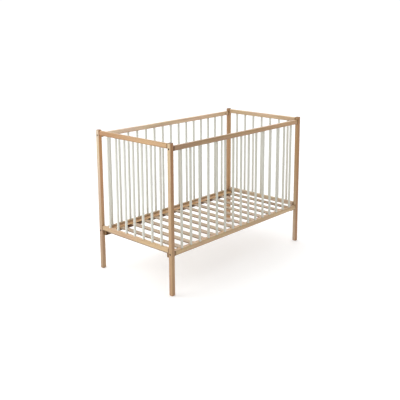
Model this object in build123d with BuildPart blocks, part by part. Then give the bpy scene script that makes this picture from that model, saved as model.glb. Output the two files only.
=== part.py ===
"""Baby crib: two end panels, two side panels and a slatted base, held by bolts and brackets.

Frame: millimetres, +X along the crib, +Y across it towards the back, +Z up.
The origin is the middle of the crib on the floor.
Left and right mean the -X and +X ends, and front and back mean the -Y and +Y sides.
"""
import os

from build123d import *

# Overall size
crib_length = 1250.0
crib_width = 650.0
crib_height = 890.0

# Posts
post_size = 27.0
post_corner_radius = 6.0
post_top_round = 3.5
post_foot_chamfer = 2.0

# Rails of the four sides
rail_thickness = 22.0
rail_height = 30.0
rail_round = 8.0
rail_end_round = 3.0
end_top_rail_top = 886.0
side_top_rail_top = 872.0
end_bottom_rail_top = 282.5
side_bottom_rail_top = 263.5

# Tenons on the end rails, which sit in mortises in the posts
tenon_height = 17.0
tenon_thickness = 10.0
tenon_length = 16.0
mortise_slack = 0.5

# Spindles
spindle_diameter = 15.0
spindle_socket_depth = 12.0
spindle_end_chamfer = 1.0
end_spindle_count = 7
side_spindle_count = 15

# Base: two grooved beams with slats between them
beam_width = 28.0
beam_height = 30.0
beam_edge_round = 3.0
beam_post_gap = 0.5
beam_drop = 10.0
groove_depth = 12.0
groove_height = 8.0
groove_above_beam_bottom = 13.0
slat_count = 13
slat_width = 38.0
slat_thickness = 8.0
slat_edge_round = 1.8
slat_end_gap = 1.0

# Side bolts with barrel nuts, and the wooden dowels that keep each joint square
bolt_diameter = 6.0
bolt_length = 60.0
bolt_head_diameter = 10.0
bolt_head_height = 6.0
bolt_socket_width = 5.0
bolt_socket_depth = 3.0
bolt_clearance_diameter = 7.0
counterbore_diameter = 11.0
counterbore_depth = 6.5
nut_diameter = 10.0
nut_length = 14.0
nut_from_rail_end = 34.0
nut_slot_width = 1.6
nut_slot_depth = 1.5
bolt_hole_in_rail = 42.0
dowel_diameter = 6.0
dowel_below_bolt = 9.0
dowel_depth_in_post = 12.0
dowel_depth_in_rail = 18.0
dowel_slack = 0.5

# Corner brackets under the ends of the beams
bracket_thickness = 2.0
bracket_plate_length = 40.0
bracket_plate_width = 25.0
bracket_leg_width = 14.0
bracket_leg_height = 27.0
bracket_from_end = 13.0
bracket_hole_diameter = 4.4
bracket_leg_hole_height = 8.5
bracket_leg_hole_spacing = 10.0

# Screws
screw_diameter = 4.0
screw_head_diameter = 7.5
screw_head_height = 2.4
screw_recess_width = 1.4
screw_recess_length = 4.0
screw_recess_depth = 1.2
bracket_screw_length = 11.0
plate_screw_length = 18.0
slat_screw_length = 17.5
slat_screw_diameter = 3.5
slat_screw_head_diameter = 6.5
beam_screw_length = 32.0
beam_screw_head_diameter = 7.0

# Places worked out from the sizes above
post_x = crib_length / 2 - post_size / 2
post_y = crib_width / 2 - post_size / 2
inner_x = post_x - post_size / 2
inner_y = post_y - post_size / 2
side_bolt_heights = [side_bottom_rail_top - rail_height / 2, side_top_rail_top - rail_height / 2]
end_rail_heights = [end_bottom_rail_top - rail_height / 2, end_top_rail_top - rail_height / 2]
nut_x = inner_x - nut_from_rail_end
bolt_head_seat_x = crib_length / 2 - counterbore_depth

beam_outer_y = post_y - rail_thickness / 2
beam_inner_y = beam_outer_y - beam_width
beam_y = (beam_outer_y + beam_inner_y) / 2
beam_top = side_bottom_rail_top - beam_drop
beam_bottom = beam_top - beam_height
beam_half_length = inner_x - beam_post_gap
groove_bottom_y = beam_inner_y + groove_depth
slat_bottom = beam_bottom + groove_above_beam_bottom
slat_half_length = groove_bottom_y - slat_end_gap
slat_pitch = (2 * beam_half_length - slat_width) / (slat_count - 1)
slat_places = [(i - (slat_count - 1) / 2) * slat_pitch for i in range(slat_count)]
slat_screw_y = beam_inner_y + groove_depth / 2
beam_screw_x = [-4.5 * slat_pitch, -1.5 * slat_pitch, 1.5 * slat_pitch, 4.5 * slat_pitch]
beam_screw_z = slat_bottom + groove_height / 2
plate_screws = [(slat_places[-1], slat_screw_y), (slat_places[-1] + 8.0, beam_outer_y - 8.5)]
bracket_leg_x = crib_length / 2 - bracket_from_end - bracket_leg_width / 2
bracket_screw_heights = [
    beam_bottom + bracket_leg_hole_height,
    beam_bottom + bracket_leg_hole_height + bracket_leg_hole_spacing,
]


def even_places(count, clear_span):
    """Centres of round bars that leave the same gap between each other and at both ends."""
    gap = (clear_span - count * spindle_diameter) / (count + 1)
    pitch = gap + spindle_diameter
    return [(i - (count - 1) / 2) * pitch for i in range(count)]


end_spindle_places = even_places(end_spindle_count, 2 * inner_y)
side_spindle_places = even_places(side_spindle_count, 2 * inner_x)


def save(part, name):
    """Label one finished piece and write it as its own STEP file."""
    part.label = name
    export_step(part, f"parts/{name}.step")


def make_post(side_x, side_y):
    """One corner post with its mortises, bolt holes, dowel holes and bracket screw holes."""
    with BuildPart() as post:
        with BuildSketch(Plane((side_x * post_x, side_y * post_y, 0))):
            RectangleRounded(post_size, post_size, post_corner_radius)
        extrude(amount=crib_height)
        fillet(post.faces().sort_by(Axis.Z)[-1].edges(), post_top_round)
        chamfer(post.faces().sort_by(Axis.Z)[0].edges(), post_foot_chamfer)
        for height in side_bolt_heights:
            outer = Plane((side_x * crib_length / 2, side_y * post_y, height), z_dir=(side_x, 0, 0))
            with Locations(outer):
                CounterBoreHole(bolt_clearance_diameter / 2, counterbore_diameter / 2, counterbore_depth)
            dowel_height = height - dowel_below_bolt
            inner = Plane((side_x * inner_x, side_y * post_y, dowel_height), z_dir=(-side_x, 0, 0))
            with Locations(inner):
                Hole(dowel_diameter / 2, dowel_depth_in_post)
        for height in end_rail_heights:
            face = Plane((side_x * post_x, side_y * inner_y, height), x_dir=(1, 0, 0), z_dir=(0, side_y, 0))
            with BuildSketch(face):
                SlotOverall(tenon_height, tenon_thickness, rotation=90)
            extrude(amount=tenon_length + mortise_slack, mode=Mode.SUBTRACT)
        for height in bracket_screw_heights:
            face = Plane((side_x * bracket_leg_x, side_y * inner_y, height), z_dir=(0, -side_y, 0))
            with Locations(face):
                Hole(screw_diameter / 2, bracket_screw_length - bracket_thickness)
    return post.part


def make_end_rail(side_x, height, socket_direction):
    """A rail across one end, with a tenon at each end and sockets for the spindles."""
    with BuildPart() as rail:
        start = Plane((side_x * post_x, -inner_y, height), x_dir=(1, 0, 0), z_dir=(0, 1, 0))
        with BuildSketch(start):
            RectangleRounded(rail_thickness, rail_height, rail_round)
        extrude(amount=2 * inner_y)
        end_faces = rail.faces().filter_by(Axis.Y)
        fillet(end_faces.sort_by(Axis.Y)[0].edges() + end_faces.sort_by(Axis.Y)[-1].edges(), rail_end_round)
        tenon_start = start.offset(-tenon_length)
        with BuildSketch(tenon_start):
            SlotOverall(tenon_height, tenon_thickness, rotation=90)
        extrude(amount=2 * inner_y + 2 * tenon_length)
        edge = height + socket_direction * rail_height / 2
        for y in end_spindle_places:
            with Locations(Plane((side_x * post_x, y, edge), z_dir=(0, 0, socket_direction))):
                Hole(spindle_diameter / 2, spindle_socket_depth)
    return rail.part


def make_side_rail(side_y, height, socket_direction):
    """A rail along one side, with bolt, barrel nut and dowel holes and sockets for the spindles."""
    with BuildPart() as rail:
        with BuildSketch(Plane((-inner_x, side_y * post_y, height), x_dir=(0, 1, 0), z_dir=(1, 0, 0))):
            RectangleRounded(rail_thickness, rail_height, rail_round)
        extrude(amount=2 * inner_x)
        end_faces = rail.faces().filter_by(Axis.X)
        fillet(end_faces.sort_by(Axis.X)[0].edges() + end_faces.sort_by(Axis.X)[-1].edges(), rail_end_round)
        edge = height + socket_direction * rail_height / 2
        for x in side_spindle_places:
            with Locations(Plane((x, side_y * post_y, edge), z_dir=(0, 0, socket_direction))):
                Hole(spindle_diameter / 2, spindle_socket_depth)
        for side_x in (-1, 1):
            with Locations(Plane((side_x * inner_x, side_y * post_y, height), z_dir=(side_x, 0, 0))):
                Hole(bolt_clearance_diameter / 2, bolt_hole_in_rail)
            dowel_height = height - dowel_below_bolt
            with Locations(Plane((side_x * inner_x, side_y * post_y, dowel_height), z_dir=(side_x, 0, 0))):
                Hole(dowel_diameter / 2, dowel_depth_in_rail)
            inside_face = side_y * beam_outer_y
            nut_hole_depth = rail_thickness / 2 + nut_length / 2
            with Locations(Plane((side_x * nut_x, inside_face, height), z_dir=(0, -side_y, 0))):
                Hole(nut_diameter / 2, nut_hole_depth)
        if socket_direction > 0:
            for x in beam_screw_x:
                with Locations(Plane((x, side_y * beam_outer_y, beam_screw_z), z_dir=(0, -side_y, 0))):
                    Hole(screw_diameter / 2, beam_screw_length - beam_width + groove_depth)
    return rail.part


def make_spindle(x, y, bottom, top):
    """A round upright bar with its ends in the rails' sockets."""
    with BuildPart() as spindle:
        with BuildSketch(Plane((x, y, bottom))):
            Circle(spindle_diameter / 2)
        extrude(amount=top - bottom)
        chamfer(spindle.edges().filter_by(GeomType.CIRCLE), spindle_end_chamfer)
    return spindle.part


def make_beam(side_y):
    """A long base beam with a groove in its inner face that holds the ends of the slats."""
    with BuildPart() as beam:
        start = Plane((-beam_half_length, side_y * beam_y, beam_bottom + beam_height / 2),
                      x_dir=(0, side_y, 0), z_dir=(1, 0, 0))
        with BuildSketch(start):
            RectangleRounded(beam_width, beam_height, beam_edge_round)
        extrude(amount=2 * beam_half_length)
        groove_middle = Plane((-beam_half_length, side_y * slat_screw_y, beam_screw_z),
                              x_dir=(0, side_y, 0), z_dir=(1, 0, 0))
        with BuildSketch(groove_middle):
            Rectangle(groove_depth, groove_height)
        extrude(amount=2 * beam_half_length, mode=Mode.SUBTRACT)
        for x in slat_places[1:-1]:
            with Locations(Plane((x, side_y * slat_screw_y, beam_bottom), z_dir=(0, 0, -1))):
                CounterSinkHole(slat_screw_diameter / 2, slat_screw_head_diameter / 2,
                                groove_above_beam_bottom, counter_sink_angle=90)
        for x in beam_screw_x:
            with Locations(Plane((x, side_y * groove_bottom_y, beam_screw_z), z_dir=(0, -side_y, 0))):
                CounterSinkHole(screw_diameter / 2, beam_screw_head_diameter / 2,
                                beam_width - groove_depth, counter_sink_angle=90)
        for side_x in (-1, 1):
            for x, y in plate_screws:
                with Locations(Plane((side_x * x, side_y * y, beam_bottom), z_dir=(0, 0, -1))):
                    Hole(screw_diameter / 2, plate_screw_length - bracket_thickness)
    return beam.part


def make_slat(x, is_end_slat):
    """One slat across the base, with a screw hole near each end."""
    with BuildPart() as slat:
        with BuildSketch(Plane((x, -slat_half_length, slat_bottom + slat_thickness / 2),
                               x_dir=(1, 0, 0), z_dir=(0, 1, 0))):
            RectangleRounded(slat_width, slat_thickness, slat_edge_round)
        extrude(amount=2 * slat_half_length)
        if is_end_slat:
            radius = screw_diameter / 2
            tip = beam_bottom - bracket_thickness + plate_screw_length
        else:
            radius = slat_screw_diameter / 2
            tip = beam_bottom + slat_screw_length
        for side_y in (-1, 1):
            with Locations(Plane((x, side_y * slat_screw_y, slat_bottom), z_dir=(0, 0, -1))):
                Hole(radius, tip - slat_bottom)
    return slat.part


def make_bracket(side_x, side_y):
    """A steel corner bracket: a leg on the post, a plate under the beam and a cheek joining the two."""
    outer_x = crib_length / 2 - bracket_from_end
    plate_x = outer_x - bracket_plate_length / 2
    plate_y = inner_y - bracket_plate_width / 2
    upright_height = bracket_leg_height + bracket_thickness
    upright_middle_z = beam_bottom - bracket_thickness + upright_height / 2
    with BuildPart() as bracket:
        with BuildSketch(Plane((side_x * plate_x, side_y * plate_y, beam_bottom - bracket_thickness))):
            Rectangle(bracket_plate_length, bracket_plate_width)
        extrude(amount=bracket_thickness)
        with BuildSketch(Plane((side_x * bracket_leg_x, side_y * inner_y, upright_middle_z),
                               x_dir=(side_y, 0, 0), z_dir=(0, -side_y, 0))):
            Rectangle(bracket_leg_width, upright_height)
        extrude(amount=bracket_thickness)
        with BuildSketch(Plane((side_x * outer_x, side_y * plate_y, upright_middle_z),
                               x_dir=(0, side_x, 0), z_dir=(-side_x, 0, 0))):
            Rectangle(bracket_plate_width, upright_height)
        extrude(amount=bracket_thickness)
        for height in bracket_screw_heights:
            leg_face_y = side_y * (inner_y - bracket_thickness)
            with Locations(Plane((side_x * bracket_leg_x, leg_face_y, height), z_dir=(0, -side_y, 0))):
                Hole(bracket_hole_diameter / 2, bracket_thickness)
        for x, y in plate_screws:
            with Locations(Plane((side_x * x, side_y * y, beam_bottom), z_dir=(0, 0, 1))):
                Hole(bracket_hole_diameter / 2, bracket_thickness)
    return bracket.part


def make_side_bolt(seat):
    """A socket head cap screw whose head rests on the plane seat and whose shank points down it."""
    with BuildPart() as bolt:
        with BuildSketch(seat):
            Circle(bolt_head_diameter / 2)
        extrude(amount=bolt_head_height)
        with BuildSketch(seat):
            Circle(bolt_diameter / 2)
        extrude(amount=-bolt_length)
        with BuildSketch(seat.offset(bolt_head_height)):
            RegularPolygon(bolt_socket_width / 2, 6, major_radius=False)
        extrude(amount=-bolt_socket_depth, mode=Mode.SUBTRACT)
    return bolt.part


def make_barrel_nut(slotted_end, bore_direction):
    """A round cross nut lying down the plane's normal, with a cross bore and a screwdriver slot."""
    with BuildPart() as nut:
        with BuildSketch(slotted_end):
            Circle(nut_diameter / 2)
        extrude(amount=-nut_length)
        bore_start = slotted_end.offset(-nut_length / 2).origin + bore_direction * nut_diameter
        with Locations(Plane(bore_start, z_dir=bore_direction)):
            Hole(bolt_diameter / 2, 2 * nut_diameter)
        with BuildSketch(slotted_end):
            Rectangle(nut_diameter, nut_slot_width)
        extrude(amount=-nut_slot_depth, mode=Mode.SUBTRACT)
    return nut.part


def make_locating_dowel(start):
    """A plain wooden dowel with a small chamfer at both ends."""
    with BuildPart() as dowel:
        with BuildSketch(start):
            Circle(dowel_diameter / 2)
        extrude(amount=dowel_depth_in_post + dowel_depth_in_rail - 2 * dowel_slack)
        chamfer(dowel.edges().filter_by(GeomType.CIRCLE), dowel_slack)
    return dowel.part


def cross_recess(surface):
    """The outline of the cross-shaped driver recess in a screw head."""
    with BuildSketch(surface) as recess:
        Rectangle(screw_recess_length, screw_recess_width)
        Rectangle(screw_recess_width, screw_recess_length)
    return recess.sketch


def make_pan_screw(seat, length):
    """A wood screw whose round head stands on the plane seat."""
    with BuildPart() as screw:
        with BuildSketch(seat):
            Circle(screw_head_diameter / 2)
        extrude(amount=screw_head_height)
        with BuildSketch(seat):
            Circle(screw_diameter / 2)
        extrude(amount=-length)
        recess = cross_recess(seat.offset(screw_head_height))
        extrude(recess, amount=-screw_recess_depth, mode=Mode.SUBTRACT)
    return screw.part


def make_flat_screw(seat, length, diameter, head_diameter):
    """A countersunk wood screw whose head is flush with the plane seat."""
    with BuildPart() as screw:
        with BuildSketch(seat):
            Circle(diameter / 2)
        extrude(amount=-length)
        head_height = (head_diameter - diameter) / 2
        with Locations(seat):
            Cone(diameter / 2, head_diameter / 2, head_height, align=(Align.CENTER, Align.CENTER, Align.MAX))
        extrude(cross_recess(seat), amount=-screw_recess_depth, mode=Mode.SUBTRACT)
    return screw.part


os.makedirs("parts", exist_ok=True)

ends = {"left": -1, "right": 1}
sides = {"front": -1, "back": 1}
corners = [(side_x, side_y) for side_x in ends.values() for side_y in sides.values()]
bolt_places = [(side_x, side_y, height) for side_x, side_y in corners for height in side_bolt_heights]

for side_name, side_y in sides.items():
    for end_name, side_x in ends.items():
        save(make_post(side_x, side_y), f"post_{side_name}_{end_name}")
        save(make_bracket(side_x, side_y), f"bracket_{side_name}_{end_name}")

spindle_bottom = end_bottom_rail_top - spindle_socket_depth
spindle_top = end_top_rail_top - rail_height + spindle_socket_depth
for end_name, side_x in ends.items():
    save(make_end_rail(side_x, end_rail_heights[0], 1), f"{end_name}_bottom_rail")
    save(make_end_rail(side_x, end_rail_heights[1], -1), f"{end_name}_top_rail")
    for number, y in enumerate(end_spindle_places, start=1):
        spindle = make_spindle(side_x * post_x, y, spindle_bottom, spindle_top)
        save(spindle, f"{end_name}_spindle_{number}")

spindle_bottom = side_bottom_rail_top - spindle_socket_depth
spindle_top = side_top_rail_top - rail_height + spindle_socket_depth
for side_name, side_y in sides.items():
    save(make_side_rail(side_y, side_bolt_heights[0], 1), f"{side_name}_bottom_rail")
    save(make_side_rail(side_y, side_bolt_heights[1], -1), f"{side_name}_top_rail")
    save(make_beam(side_y), f"{side_name}_base_beam")
    spindles = [make_spindle(x, side_y * post_y, spindle_bottom, spindle_top) for x in side_spindle_places]
    save(Compound(children=spindles), f"{side_name}_spindles")

for number, x in enumerate(slat_places, start=1):
    save(make_slat(x, number in (1, slat_count)), f"slat_{number:02d}")

bolts = []
nuts = []
dowels = []
for side_x, side_y, height in bolt_places:
    seat = Plane((side_x * bolt_head_seat_x, side_y * post_y, height), z_dir=(side_x, 0, 0))
    bolts.append(make_side_bolt(seat))
    nut_end_y = side_y * (post_y - nut_length / 2)
    nut_end = Plane((side_x * nut_x, nut_end_y, height), z_dir=(0, -side_y, 0))
    nuts.append(make_barrel_nut(nut_end, Vector(side_x, 0, 0)))
    dowel_x = side_x * (inner_x + dowel_depth_in_post - dowel_slack)
    dowel_start = Plane((dowel_x, side_y * post_y, height - dowel_below_bolt), z_dir=(-side_x, 0, 0))
    dowels.append(make_locating_dowel(dowel_start))
save(Compound(children=bolts), "side_bolts")
save(Compound(children=nuts), "barrel_nuts")
save(Compound(children=dowels), "locating_dowels")

leg_screws = []
under_beam_screws = []
for side_x, side_y in corners:
    for height in bracket_screw_heights:
        leg_face_y = side_y * (inner_y - bracket_thickness)
        leg_face = Plane((side_x * bracket_leg_x, leg_face_y, height), z_dir=(0, -side_y, 0))
        leg_screws.append(make_pan_screw(leg_face, bracket_screw_length))
    for x, y in plate_screws:
        plate_bottom_z = beam_bottom - bracket_thickness
        plate_face = Plane((side_x * x, side_y * y, plate_bottom_z), z_dir=(0, 0, -1))
        under_beam_screws.append(make_pan_screw(plate_face, plate_screw_length))
save(Compound(children=leg_screws), "bracket_post_screws")
save(Compound(children=under_beam_screws), "bracket_beam_screws")

slat_end_screws = []
beam_side_screws = []
for side_y in sides.values():
    for x in slat_places[1:-1]:
        beam_face = Plane((x, side_y * slat_screw_y, beam_bottom), z_dir=(0, 0, -1))
        slat_end_screws.append(
            make_flat_screw(beam_face, slat_screw_length, slat_screw_diameter, slat_screw_head_diameter)
        )
    for x in beam_screw_x:
        groove_face = Plane((x, side_y * groove_bottom_y, beam_screw_z), z_dir=(0, -side_y, 0))
        beam_side_screws.append(
            make_flat_screw(groove_face, beam_screw_length, screw_diameter, beam_screw_head_diameter)
        )
save(Compound(children=slat_end_screws), "slat_screws")
save(Compound(children=beam_side_screws), "beam_screws")
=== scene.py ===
import math

import bpy
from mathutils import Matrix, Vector


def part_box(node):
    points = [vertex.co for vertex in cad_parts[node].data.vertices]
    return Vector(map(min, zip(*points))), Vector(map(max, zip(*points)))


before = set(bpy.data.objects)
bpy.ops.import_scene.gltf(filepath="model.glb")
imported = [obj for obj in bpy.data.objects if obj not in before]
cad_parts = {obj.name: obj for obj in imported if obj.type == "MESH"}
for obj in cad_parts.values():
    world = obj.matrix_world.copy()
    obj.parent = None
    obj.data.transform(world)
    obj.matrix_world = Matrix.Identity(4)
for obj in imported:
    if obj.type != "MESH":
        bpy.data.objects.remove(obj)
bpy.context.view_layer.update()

# Camera, in metres and degrees. It stands off the left front corner, a little above the top rail.
CAMERA_AIM = Vector((0.0, -0.094, 0.7887))
CAMERA_AZIMUTH = -48.30
CAMERA_ELEVATION = 11.09
CAMERA_DISTANCE = 4.061
CAMERA_LENS_MM = 56.91
CAMERA_SHIFT = (-0.0375, -0.15)
CAMERA_SENSOR_MM = 36.0
CAMERA_FAR_CLIP = 200.0

# Floor: its size in metres, two tones, and the strength of its own faint light
FLOOR_HALF_SIZE = 30.0
FLOOR_COLOUR = (0.90, 0.90, 0.90)
FLOOR_WORN = (0.86, 0.86, 0.85)
FLOOR_GLOW = 0.21

# Room light: its strength on the bright side and elsewhere, where the change from one to the
# other starts and ends (as cosines from the bright side), and the direction of that side
ROOM_BRIGHT = 1.9
ROOM_DIM = 0.425
ROOM_DIM_UP_TO = 0.25
ROOM_BRIGHT_FROM = 0.95
ROOM_BRIGHT_SIDE = Vector((0.75, 0.66, 0.0)).normalized()
# What the camera sees past the floor: plain white, whatever light the room gives
BACKDROP = 1.05

# Lamps, in metres and degrees: the key's power is in watts, the overhead sun's strength in watts
# for each square metre
KEY_PLACE = (-1.55, 0.85, 1.0)
KEY_AIM = (-0.6, 0.0, 0.5)
KEY_SIZE = (1.0, 1.2)
KEY_POWER = 7.9
KEY_TINT = (1.0, 0.985, 0.96)
OVERHEAD_STRENGTH = 1.30
OVERHEAD_SPREAD = 100.0
OVERHEAD_TILT = (-8.0, -12.0)

# Wood colours, linear: the main tone of each group of pieces
POST_BEECH = (0.455, 0.275, 0.150)
FRONT_TOP_BEECH = (0.480, 0.312, 0.177)
LEFT_TOP_BEECH = (0.470, 0.295, 0.145)
BACK_TOP_BEECH = (0.680, 0.535, 0.392)
RIGHT_TOP_BEECH = (0.635, 0.495, 0.345)
BOTTOM_RAIL_BEECH = (0.545, 0.408, 0.255)
RIGHT_BOTTOM_BEECH = (0.640, 0.545, 0.430)
BEAM_BEECH = (0.490, 0.300, 0.150)
SLAT_WOOD = (0.480, 0.385, 0.291)
DOWEL_WOOD = (0.580, 0.410, 0.250)

# Tones are factors on a colour's red, green and blue.
PLAIN = (1.0, 1.0, 1.0)
# Tones of the sides that face along X and along Y, each at the low and the high end of the grain,
# set so that each face's average tone comes near the photograph's
# These tones are painted light and shade: lighter on faces that stand in the light, darker on faces in
# shade.
PAINTED_SIDE_LIGHT = {
    "post_front_left": (
        ((1.09, 1.19, 1.34), (1.29, 1.68, 2.00)), ((0.97, 1.07, 1.15), (0.78, 0.69, 0.59))),
    "post_front_right": (
        ((1.18, 1.50, 2.00), (0.99, 1.02, 1.00)), ((0.82, 0.70, 0.52), (0.90, 0.81, 0.66))),
    "post_back_left": (
        ((0.86, 1.01, 1.30), (1.24, 1.72, 2.45)), ((0.95, 1.07, 1.28), (1.24, 1.17, 1.08))),
    "post_back_right": (
        ((0.95, 0.96, 0.93), (0.95, 0.96, 0.93)), ((1.18, 1.19, 1.19), (1.05, 1.07, 1.01))),
    "left_top_rail": (
        ((1.15, 1.23, 1.25), (0.88, 0.79, 0.71)), (PLAIN, PLAIN)),
    "left_bottom_rail": (
        ((1.02, 0.99, 0.98), (0.90, 0.87, 0.88)), (PLAIN, PLAIN)),
    "front_top_rail": (
        (PLAIN, PLAIN), ((0.82, 0.83, 0.86), (1.09, 1.08, 1.08))),
    "back_top_rail": (
        (PLAIN, PLAIN), ((1.06, 1.09, 1.15), (0.98, 0.93, 0.89))),
}
# Painted shade on the long edges of the slats, which lie in the shade of the rails.
SLAT_EDGE_PAINTED_SHADE = (0.68, 0.68, 0.66)

# Tones within one piece of wood; the underside tone is painted shade.
LIGHT_GRAIN = (1.15, 1.17, 1.20)
DULL_BOARD = (0.97, 0.965, 0.96)
DARK_GRAIN = (0.76, 0.69, 0.62)
STREAK_YELLOW = (1.06, 1.03, 0.90)
STREAK_PINK = (1.03, 0.95, 0.93)
END_GRAIN = (0.42, 0.33, 0.25)
UNDERSIDE_PAINTED_SHADE = (0.66, 0.60, 0.54)
# How far a surface has turned towards the grain where end wood starts to show and is full
END_GRAIN_STARTS = 0.30
END_GRAIN_FULL = 0.90

# Painted light and shade: a painted highlight on the tops of top rails and slight painted shade on the
# tops of low rails, a painted highlight on the beams' upper lips, painted shade on their lower lips,
# tops and groove, and painted shade on the ends of rails at the posts
TOP_RAIL_PAINTED_HIGHLIGHT = (1.22, 1.30, 1.40)
LOW_RAIL_TOP_PAINTED_SHADE = (0.97, 0.96, 0.94)
UPPER_LIP_PAINTED_HIGHLIGHT = (1.80, 2.05, 2.40)
LOWER_LIP_PAINTED_SHADE = (0.28, 0.21, 0.13)
BEAM_TOP_PAINTED_SHADE = (0.87, 0.82, 0.77)
GROOVE_SHADE = (0.30, 0.21, 0.13)
JOINT_SHADE = (0.38, 0.29, 0.20)
# How far from a post a rail's painted shade starts, by the rail's direction, and how far from it the
# shade is full, in metres
JOINT_SHADE_LENGTH = {"X": 0.016, "Y": 0.0065}
JOINT_SHADE_FULL = 0.0035

# How much lighter or darker each slat is than the others, and the step between the other boards
SLAT_TONES = (1.0, 0.94, 1.05, 0.97, 1.02, 0.91, 1.0, 1.06, 0.95, 1.01, 0.93, 1.04, 0.98)
BOARD_TONE_STEP = 0.03

# Width of the growth rings in metres, and how far apart Blender's ring wave puts rings at scale 1
BEECH_RING = 0.0026
SLAT_RING = 0.0031
RING_WAVE = 0.314
RING_STRETCH = (1.0, 1.0, 0.02)
RING_SWAY = 26.0

# How finely each pattern in the wood varies, per metre: twice across the grain, then along it
SWAY_SCALE = (9.0, 9.0, 1.6)
PATCH_SCALE = (22.0, 22.0, 2.6)
HUE_SCALE = (60.0, 60.0, 4.5)
STREAK_SCALE = (230.0, 230.0, 3.2)
FLECK_SCALE = (620.0, 620.0, 170.0)
FIBRE_SCALE = (1500.0, 1500.0, 26.0)
PORE_SCALE = (3400.0, 3400.0, 120.0)

# The same for the paint and the grain that shows through it, and for the metals
PAINT_CLOUD_SCALE = (14.0, 14.0, 5.0)
PAINT_GRAIN_SCALE = (900.0, 900.0, 14.0)
PAINT_STIPPLE_SCALE = 520.0
METAL_CLOUD_SCALE = 260.0
METAL_SPECK_SCALE = 2400.0
METAL_SCRATCH_SCALE = (300.0, 4200.0, 4200.0)

# Metals: clean and dull colours, linear, roughness, and how strongly fine scratches show
ZINC = ((0.62, 0.62, 0.60), (0.46, 0.45, 0.42), 0.28, 0.7)
BLACKENED = ((0.035, 0.031, 0.027), (0.065, 0.055, 0.045), 0.50, 0.4)
BRONZED = ((0.300, 0.190, 0.105), (0.190, 0.115, 0.058), 0.42, 0.7)

# Paint colours, linear, and the painted shade of the two long rows of bars, deeper on the front row
PAINT_CLEAN = (0.725, 0.730, 0.668)
PAINT_AGED = (0.680, 0.664, 0.590)
FRONT_ROW_PAINTED_SHADE = (0.86, 0.85, 0.82)
BACK_ROW_PAINTED_SHADE = (0.93, 0.94, 0.93)


class Graph:
    """Adds nodes to one material and joins them up."""

    def __init__(self, name):
        self.material = bpy.data.materials.new(name)
        self.material.use_nodes = True
        self.tree = self.material.node_tree
        self.shader = self.tree.nodes["Principled BSDF"]

    def put(self, socket, value):
        if isinstance(value, bpy.types.NodeSocket):
            self.tree.links.new(value, socket)
        else:
            socket.default_value = value

    def node(self, kind, settings=None, **inputs):
        made = self.tree.nodes.new(kind)
        for key, value in (settings or {}).items():
            setattr(made, key, value)
        for key, value in inputs.items():
            self.put(made.inputs[key.replace("_", " ")], value)
        return made

    def math(self, operation, a, b=0.0):
        made = self.tree.nodes.new("ShaderNodeMath")
        made.operation = operation
        self.put(made.inputs[0], a)
        self.put(made.inputs[1], b)
        return made.outputs[0]

    def vector_math(self, operation, a, b):
        made = self.tree.nodes.new("ShaderNodeVectorMath")
        made.operation = operation
        self.put(made.inputs[0], a)
        self.put(made.inputs[1], b)
        return made.outputs[0]

    def scaled(self, vector, factors):
        return self.vector_math("MULTIPLY", vector, factors)

    def shifted(self, vector, offset):
        return self.vector_math("ADD", vector, offset)

    def ramp(self, value, low, high, low_value=0.0, high_value=1.0):
        """A smooth step of value between low and high."""
        made = self.node("ShaderNodeMapRange", {"interpolation_type": "SMOOTHSTEP", "clamp": True})
        self.put(made.inputs["Value"], value)
        self.put(made.inputs["From Min"], low)
        self.put(made.inputs["From Max"], high)
        self.put(made.inputs["To Min"], low_value)
        self.put(made.inputs["To Max"], high_value)
        return made.outputs["Result"]

    def noise(self, vector, scale, detail=2.0, roughness=0.5):
        made = self.node("ShaderNodeTexNoise", {"noise_dimensions": "3D"})
        self.put(made.inputs["Vector"], vector)
        self.put(made.inputs["Scale"], scale)
        self.put(made.inputs["Detail"], detail)
        self.put(made.inputs["Roughness"], roughness)
        return made.outputs["Fac"]

    def mix(self, factor, a, b, blend="MIX"):
        made = self.node("ShaderNodeMix", {"data_type": "RGBA", "blend_type": blend})
        self.put(made.inputs["Factor"], factor)
        self.put(made.inputs[6], colour(a))
        self.put(made.inputs[7], colour(b))
        return made.outputs[2]

    def bump(self, height, strength, distance):
        made = self.node("ShaderNodeBump")
        self.put(made.inputs["Strength"], strength)
        self.put(made.inputs["Distance"], distance)
        self.put(made.inputs["Height"], height)
        return made.outputs["Normal"]

    def toned(self, base, tone):
        """A colour multiplied by a tone."""
        return self.mix(1.0, base, tone, "MULTIPLY")

    def split(self, vector):
        return self.node("ShaderNodeSeparateXYZ", Vector=vector).outputs

    def position(self):
        """The place on the object in metres, because every CAD node sits at the origin."""
        return self.node("ShaderNodeTexCoord").outputs["Object"]

    def facing(self):
        """The direction that the surface faces."""
        return self.node("ShaderNodeTexCoord").outputs["Normal"]

    def set(self, **values):
        """Sets the shader's own sockets."""
        for key, value in values.items():
            self.put(self.shader.inputs[key.replace("_", " ")], value)


def colour(value):
    """An RGBA colour from an RGB one; a node socket is passed through."""
    if isinstance(value, tuple) and len(value) == 3:
        return (*value, 1.0)
    return value


def along_grain(graph, vector, grain):
    """The vector with its components in turn so that the last one runs along the grain."""
    parts = graph.split(vector)
    order = {"X": "YZX", "Y": "ZXY", "Z": "XYZ"}[grain]
    joined = graph.node("ShaderNodeCombineXYZ")
    for target, source in zip("XYZ", order):
        graph.put(joined.inputs[target], parts[source])
    return joined.outputs[0]


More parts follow.
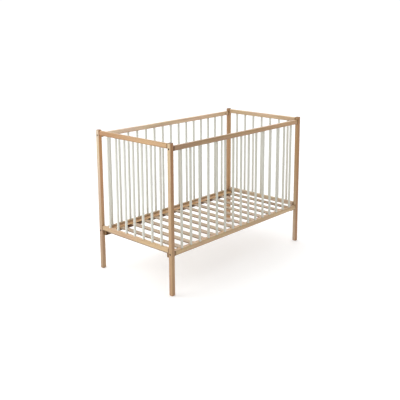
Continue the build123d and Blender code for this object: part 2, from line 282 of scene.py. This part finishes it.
def face_masks(graph, grain):
    """Masks from the way a surface faces: rounded edges, end grain, sides along X, undersides, tops.
    All but the end grain place painted light and shade.
    """
    normal = graph.facing()
    size = graph.node("ShaderNodeVectorMath", {"operation": "ABSOLUTE"})
    graph.put(size.inputs[0], normal)
    parts = graph.split(size.outputs[0])
    largest = graph.math("MAXIMUM", parts["X"], graph.math("MAXIMUM", parts["Y"], parts["Z"]))
    height = graph.split(normal)["Z"]
    edge = graph.ramp(largest, 0.97, 0.80)
    end = graph.ramp(parts[grain], END_GRAIN_STARTS, END_GRAIN_FULL)
    x_side = graph.ramp(parts["X"], 0.55, 0.85)
    under = graph.ramp(height, -0.10, -0.80)
    top = graph.ramp(height, 0.45, 0.95)
    return edge, end, x_side, under, top


def times(colour_value, factors):
    """A colour with each channel multiplied, and none above one."""
    return tuple(min(1.0, c * f) for c, f in zip(colour_value, factors))


def run_along(graph, grain, piece):
    """Nought near the low end of a piece and one near its high end."""
    low, high = (corner["XYZ".index(grain)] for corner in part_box(piece))
    margin = (high - low) / 8
    return graph.ramp(graph.split(graph.position())[grain], low + margin, high - margin)


def wood(name, grain, seed, middle, ring=BEECH_RING, gloss=0.40, fleck=0.5, figure=0.55,
         piece=None, sides=None, painted_top_light=PLAIN, shaded=None):
    """Solid wood whose rings, fibres and ray flecks run through the whole piece along one axis, with
    light and shade painted on its edges, sides, tops and undersides.
    """
    graph = Graph(name)
    light = times(middle, LIGHT_GRAIN)
    dark = times(middle, DARK_GRAIN)
    heart = (0.085 + 0.013 * (seed % 5), 0.060 + 0.017 * (seed % 3), 0.31 * seed)
    place = graph.shifted(along_grain(graph, graph.position(), grain), heart)

    sway = graph.noise(graph.scaled(place, SWAY_SCALE), 1.0, 3.0, 0.55)
    rings = graph.node(
        "ShaderNodeTexWave",
        {"wave_type": "RINGS", "rings_direction": "Z", "wave_profile": "SAW"},
        Vector=graph.scaled(place, RING_STRETCH), Scale=RING_WAVE / ring,
        Distortion=0.0, Phase_Offset=graph.math("MULTIPLY", sway, RING_SWAY),
    ).outputs["Fac"]
    late = graph.ramp(rings, 0.35, 0.98)
    patches = graph.noise(graph.scaled(place, PATCH_SCALE), 1.0, 3.0, 0.6)
    fibres = graph.noise(graph.scaled(place, FIBRE_SCALE), 1.0, 3.0, 0.65)
    streaks = graph.noise(graph.scaled(place, STREAK_SCALE), 1.0, 2.0, 0.5)
    pores = graph.noise(graph.scaled(place, PORE_SCALE), 1.0, 1.0, 0.5)
    hue = graph.noise(graph.scaled(place, HUE_SCALE), 1.0, 2.0, 0.55)
    rays = graph.node(
        "ShaderNodeTexVoronoi", {"feature": "F1"},
        Vector=graph.scaled(place, FLECK_SCALE), Scale=1.0, Randomness=1.0,
    ).outputs["Distance"]
    flecks = graph.ramp(rays, 0.30, 0.16)
    edge, end, x_side, under, top = face_masks(graph, grain)

    base = graph.mix(graph.ramp(patches, 0.34, 0.66), times(middle, DULL_BOARD), light)
    base = graph.mix(graph.math("MULTIPLY", late, figure), base, dark)
    base = graph.mix(graph.ramp(streaks, 0.45, 0.60, 0.0, 0.55), base, dark)
    base = graph.mix(graph.ramp(fibres, 0.42, 0.72, 0.0, 0.42), base, dark)
    base = graph.mix(graph.math("MULTIPLY", flecks, fleck), base, dark)
    # Rounded edges a little lighter: a painted highlight where they catch the light.
    base = graph.mix(graph.math("MULTIPLY", edge, 0.20), base, light)
    base = graph.toned(base, graph.mix(graph.ramp(hue, 0.36, 0.64), STREAK_PINK, STREAK_YELLOW))
    # Tops get painted light: a painted highlight on top rails, a little painted shade on low rails.
    base = graph.mix(top, base, graph.toned(base, painted_top_light))
    # Undersides get painted shade.
    base = graph.mix(under, base, graph.toned(base, UNDERSIDE_PAINTED_SHADE))
    base = graph.mix(graph.math("MULTIPLY", end, 0.85), base, times(middle, END_GRAIN))
    # Painted light and shade on the sides facing along X and along Y, changing along the piece.
    if sides:
        along = run_along(graph, grain, piece)
        x_tone, y_tone = (graph.mix(along, low, high) for low, high in sides)
        base = graph.toned(base, graph.mix(x_side, y_tone, x_tone))
    # Painted light and shade from the piece's own mask, on beams and rails.
    if shaded:
        base = graph.toned(base, shaded(graph))

    relief = graph.math("ADD", graph.math("MULTIPLY", fibres, 0.6), graph.math("MULTIPLY", pores, 0.4))
    relief = graph.math("SUBTRACT", relief, graph.math("MULTIPLY", flecks, 0.15))
    relief = graph.math("SUBTRACT", relief, graph.math("MULTIPLY", late, 0.12))
    rough = graph.math("ADD", gloss - 0.05, graph.math("MULTIPLY", fibres, 0.10))
    rough = graph.math("ADD", rough, graph.math("MULTIPLY", end, 0.12))
    rough = graph.math("SUBTRACT", rough, graph.math("MULTIPLY", edge, 0.05))
    graph.set(Base_Color=base, Roughness=rough, Normal=graph.bump(relief, 0.22, 0.00012))
    return graph


def groove_tone(graph):
    """Painted light and shade on a beam: a pale upper lip as a painted highlight, a dark groove and a
    dark lower lip under the slats as painted shade, and slight painted shade on its other faces.
    """
    slat_low, slat_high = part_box("slat_02")
    inner_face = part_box("back_base_beam")[0][1]
    middle = (slat_low[2] + slat_high[2]) / 2
    half = (slat_high[2] - slat_low[2]) / 2
    place = graph.split(graph.position())
    level = graph.math("ABSOLUTE", graph.math("SUBTRACT", place["Z"], middle))
    depth = graph.math("SUBTRACT", graph.math("ABSOLUTE", place["Y"]), inner_face)
    inside = graph.ramp(level, half + 0.0006, half + 0.0001)
    groove = graph.math("MULTIPLY", inside, graph.ramp(depth, 0.0002, 0.0030))
    below = graph.ramp(place["Z"], middle + half + 0.0004, middle + half - 0.0004)
    side = graph.ramp(graph.math("ABSOLUTE", graph.split(graph.facing())["Y"]), 0.50, 0.85)
    lips = graph.mix(below, UPPER_LIP_PAINTED_HIGHLIGHT, LOWER_LIP_PAINTED_SHADE)
    faces = graph.mix(side, BEAM_TOP_PAINTED_SHADE, lips)
    return graph.toned(faces, graph.mix(groove, PLAIN, GROOVE_SHADE))


def joint_tone(axis):
    """Makes the painted shade of rails that run along axis: dark in the last millimetres before a post.
    """
    inner_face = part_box("post_back_right")[0]["XYZ".index(axis)]

    def tone(graph):
        reach = graph.math("ABSOLUTE", graph.split(graph.position())[axis])
        joint = graph.ramp(reach, inner_face - JOINT_SHADE_LENGTH[axis], inner_face - JOINT_SHADE_FULL)
        return graph.mix(joint, PLAIN, JOINT_SHADE)

    return tone


def lacquered(graph):
    """Adds a thin satin lacquer over wood."""
    graph.set(Coat_Weight=0.10, Coat_Roughness=0.32, Specular_IOR_Level=0.35)
    return graph.material


def paint(name, shade):
    """Off-white satin paint on turned wood, with the grain showing through a little, darkened as a
    whole by a painted shade.
    """
    graph = Graph(name)
    clean = times(PAINT_CLEAN, shade)
    aged = times(PAINT_AGED, shade)
    place = graph.position()
    clouds = graph.noise(graph.scaled(place, PAINT_CLOUD_SCALE), 1.0, 3.0, 0.6)
    grain = graph.noise(graph.scaled(place, PAINT_GRAIN_SCALE), 1.0, 3.0, 0.6)
    stipple = graph.noise(place, PAINT_STIPPLE_SCALE, 2.0, 0.5)
    tint = graph.mix(graph.ramp(clouds, 0.35, 0.75, 0.0, 0.55), clean, aged)
    veined = graph.mix(graph.ramp(grain, 0.55, 0.80, 0.0, 0.30), tint, aged)
    relief = graph.math("ADD", graph.math("MULTIPLY", grain, 0.7), graph.math("MULTIPLY", stipple, 0.3))
    rough = graph.math("ADD", 0.34, graph.math("MULTIPLY", clouds, 0.14))
    graph.set(Base_Color=veined, Roughness=rough, Normal=graph.bump(relief, 0.18, 0.00015))
    graph.set(Coat_Weight=0.10, Coat_Roughness=0.30)
    return graph.material


def metal(name, clean, dull, roughness, scratch):
    """Plated or blackened steel with cloudy plating and fine scratches."""
    graph = Graph(name)
    place = graph.position()
    clouds = graph.noise(place, METAL_CLOUD_SCALE, 3.0, 0.6)
    specks = graph.noise(place, METAL_SPECK_SCALE, 2.0, 0.6)
    lines = graph.noise(graph.scaled(place, METAL_SCRATCH_SCALE), 1.0, 2.0, 0.5)
    tint = graph.mix(graph.ramp(clouds, 0.35, 0.70), clean, dull)
    worn = graph.mix(graph.ramp(specks, 0.60, 0.78, 0.0, 0.35), tint, dull)
    rough = graph.math("ADD", roughness, graph.math("MULTIPLY", clouds, 0.16))
    pitted = graph.math("MULTIPLY", specks, 0.3)
    relief = graph.math("ADD", graph.math("MULTIPLY", lines, scratch), pitted)
    graph.set(Base_Color=worn, Roughness=rough, Metallic=1.0, Normal=graph.bump(relief, 0.25, 0.00006))
    return graph.material


def finish_node(name, material):
    """Gives one CAD node its material."""
    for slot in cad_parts[name].material_slots:
        slot.material = material


def finish_wood():
    """Posts, rails and beams in lacquered beech, each cut from its own stretch of board."""
    groups = [
        ("Z", POST_BEECH, ["post_front_left", "post_front_right", "post_back_left", "post_back_right"]),
        ("X", FRONT_TOP_BEECH, ["front_top_rail"]),
        ("X", BACK_TOP_BEECH, ["back_top_rail"]),
        ("Y", LEFT_TOP_BEECH, ["left_top_rail"]),
        ("Y", RIGHT_TOP_BEECH, ["right_top_rail"]),
        ("X", BOTTOM_RAIL_BEECH, ["front_bottom_rail", "back_bottom_rail"]),
        ("Y", BOTTOM_RAIL_BEECH, ["left_bottom_rail"]),
        ("Y", RIGHT_BOTTOM_BEECH, ["right_bottom_rail"]),
        ("X", BEAM_BEECH, ["front_base_beam", "back_base_beam"]),
    ]
    seed = 1
    for grain, tone, names in groups:
        for name in names:
            shade = 1.0 + BOARD_TONE_STEP * ((seed * 3) % 5 - 2)
            shaded = None
            painted_top_light = PLAIN
            # Beams get painted light and shade on lips, groove and top; rails get painted shade at the
            # posts and painted light on their tops.
            if "beam" in name:
                shaded = groove_tone
            elif "rail" in name:
                shaded = joint_tone(grain)
                painted_top_light = TOP_RAIL_PAINTED_HIGHLIGHT if "top" in name else LOW_RAIL_TOP_PAINTED_SHADE
            graph = wood("beech_" + name, grain, seed, times(tone, (shade, shade, shade)),
                         piece=name, sides=PAINTED_SIDE_LIGHT.get(name), painted_top_light=painted_top_light, shaded=shaded)
            finish_node(name, lacquered(graph))
            seed += 1


def finish_slats():
    """Thirteen bare slats with their grain along Y, a little different in tone, with painted shade on
    their long edges.
    """
    names = sorted(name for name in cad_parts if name.startswith("slat_") and name != "slat_screws")
    for number, (name, shade) in enumerate(zip(names, SLAT_TONES)):
        graph = wood("slat_wood_" + name, "Y", 20 + number, times(SLAT_WOOD, (shade, shade, shade)),
                     ring=SLAT_RING, gloss=0.58, fleck=0.25, figure=0.45,
                     piece=name, sides=((SLAT_EDGE_PAINTED_SHADE, SLAT_EDGE_PAINTED_SHADE), (PLAIN, PLAIN)))
        finish_node(name, graph.material)


def finish_spindles():
    """Painted upright bars; the two long rows carry painted shade, the front row more."""
    plain = paint("spindle_paint_satin", PLAIN)
    finish_node("front_spindles", paint("spindle_paint_front_painted_shade", FRONT_ROW_PAINTED_SHADE))
    finish_node("back_spindles", paint("spindle_paint_back_painted_shade", BACK_ROW_PAINTED_SHADE))
    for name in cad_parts:
        if "_spindle_" in name:
            finish_node(name, plain)


def finish_hardware():
    """Bolts, nuts, screws, brackets and dowels."""
    finish_node("barrel_nuts", metal("zinc_plated_steel", *ZINC))
    finish_node("side_bolts", metal("blackened_steel", *BLACKENED))
    bronzed = metal("bronzed_steel", *BRONZED)
    for name in ("bracket_post_screws", "bracket_beam_screws", "slat_screws", "beam_screws"):
        finish_node(name, bronzed)
    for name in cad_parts:
        if name.startswith("bracket_") and not name.endswith("screws"):
            finish_node(name, bronzed)
    dowel = wood("dowel_birch", "X", 40, DOWEL_WOOD, gloss=0.60)
    finish_node("locating_dowels", dowel.material)


def make_floor():
    """A plain pale floor, level with the feet, faintly lit from inside like a light table."""
    reach = FLOOR_HALF_SIZE
    mesh = bpy.data.meshes.new("floor")
    corners = [(-reach, -reach, 0.0), (reach, -reach, 0.0), (reach, reach, 0.0), (-reach, reach, 0.0)]
    mesh.from_pydata(corners, [], [(0, 1, 2, 3)])
    floor = bpy.data.objects.new("floor", mesh)
    bpy.context.scene.collection.objects.link(floor)
    graph = Graph("floor_matt")
    tone = graph.noise(graph.position(), 1.3, 2.0, 0.5)
    shade = graph.mix(graph.ramp(tone, 0.2, 0.8, 0.0, 0.03), FLOOR_COLOUR, FLOOR_WORN)
    graph.set(Base_Color=shade, Roughness=0.9, Emission_Strength=FLOOR_GLOW)
    graph.set(Emission_Color=(1.0, 1.0, 1.0, 1.0))
    mesh.materials.append(graph.material)


def make_room_light():
    """Light from all round, brighter behind the crib than in front, and a plain white backdrop."""
    world = bpy.data.worlds.new("studio")
    bpy.context.scene.world = world
    world.use_nodes = True
    tree = world.node_tree
    background = tree.nodes["Background"]
    direction = tree.nodes.new("ShaderNodeTexCoord")
    dot = tree.nodes.new("ShaderNodeVectorMath")
    dot.operation = "DOT_PRODUCT"
    dot.inputs[1].default_value = ROOM_BRIGHT_SIDE
    tree.links.new(direction.outputs["Generated"], dot.inputs[0])
    spread = tree.nodes.new("ShaderNodeMapRange")
    spread.interpolation_type = "SMOOTHSTEP"
    spread.inputs["From Min"].default_value = ROOM_DIM_UP_TO
    spread.inputs["From Max"].default_value = ROOM_BRIGHT_FROM
    spread.inputs["To Min"].default_value = ROOM_DIM
    spread.inputs["To Max"].default_value = ROOM_BRIGHT
    tree.links.new(dot.outputs["Value"], spread.inputs["Value"])
    seen = tree.nodes.new("ShaderNodeLightPath").outputs["Is Camera Ray"]
    choice = tree.nodes.new("ShaderNodeMix")
    tree.links.new(seen, choice.inputs["Factor"])
    tree.links.new(spread.outputs["Result"], choice.inputs["A"])
    choice.inputs["B"].default_value = BACKDROP
    tree.links.new(choice.outputs["Result"], background.inputs["Strength"])
    background.inputs["Color"].default_value = (1.0, 1.0, 1.0, 1.0)


def make_softbox(name, place, aim, size, power, tint):
    """A rectangular soft light at place, turned towards aim."""
    light = bpy.data.lights.new(name, "AREA")
    light.shape = "RECTANGLE"
    light.size, light.size_y = size
    light.energy = power
    light.color = tint
    lamp = bpy.data.objects.new(name, light)
    bpy.context.scene.collection.objects.link(lamp)
    lamp.location = place
    lamp.rotation_mode = "QUATERNION"
    lamp.rotation_quaternion = (Vector(aim) - Vector(place)).to_track_quat("-Z", "Y")
    lamp.visible_camera = False


def make_overhead():
    """A very soft light from above, the same all over the floor."""
    light = bpy.data.lights.new("overhead", "SUN")
    light.energy = OVERHEAD_STRENGTH
    light.angle = math.radians(OVERHEAD_SPREAD)
    lamp = bpy.data.objects.new("overhead", light)
    bpy.context.scene.collection.objects.link(lamp)
    lamp.rotation_euler = (math.radians(OVERHEAD_TILT[0]), math.radians(OVERHEAD_TILT[1]), 0.0)


def make_camera():
    """The camera, aimed above and in front of the crib's middle, with a small shift."""
    data = bpy.data.cameras.new("camera")
    data.lens = CAMERA_LENS_MM
    data.sensor_width = CAMERA_SENSOR_MM
    data.shift_x, data.shift_y = CAMERA_SHIFT
    data.clip_end = CAMERA_FAR_CLIP
    camera = bpy.data.objects.new("camera", data)
    bpy.context.scene.collection.objects.link(camera)
    turn = math.radians(CAMERA_AZIMUTH)
    rise = math.radians(CAMERA_ELEVATION)
    back = Vector((math.sin(turn) * math.cos(rise), -math.cos(turn) * math.cos(rise), math.sin(rise)))
    camera.location = CAMERA_AIM + back * CAMERA_DISTANCE
    camera.rotation_mode = "QUATERNION"
    camera.rotation_quaternion = (-back).to_track_quat("-Z", "Y")
    bpy.context.scene.camera = camera


finish_wood()
finish_slats()
finish_spindles()
finish_hardware()
make_floor()
make_room_light()
make_softbox("key", KEY_PLACE, KEY_AIM, KEY_SIZE, KEY_POWER, KEY_TINT)
make_overhead()
make_camera()
bpy.context.scene.view_settings.view_transform = "Standard"
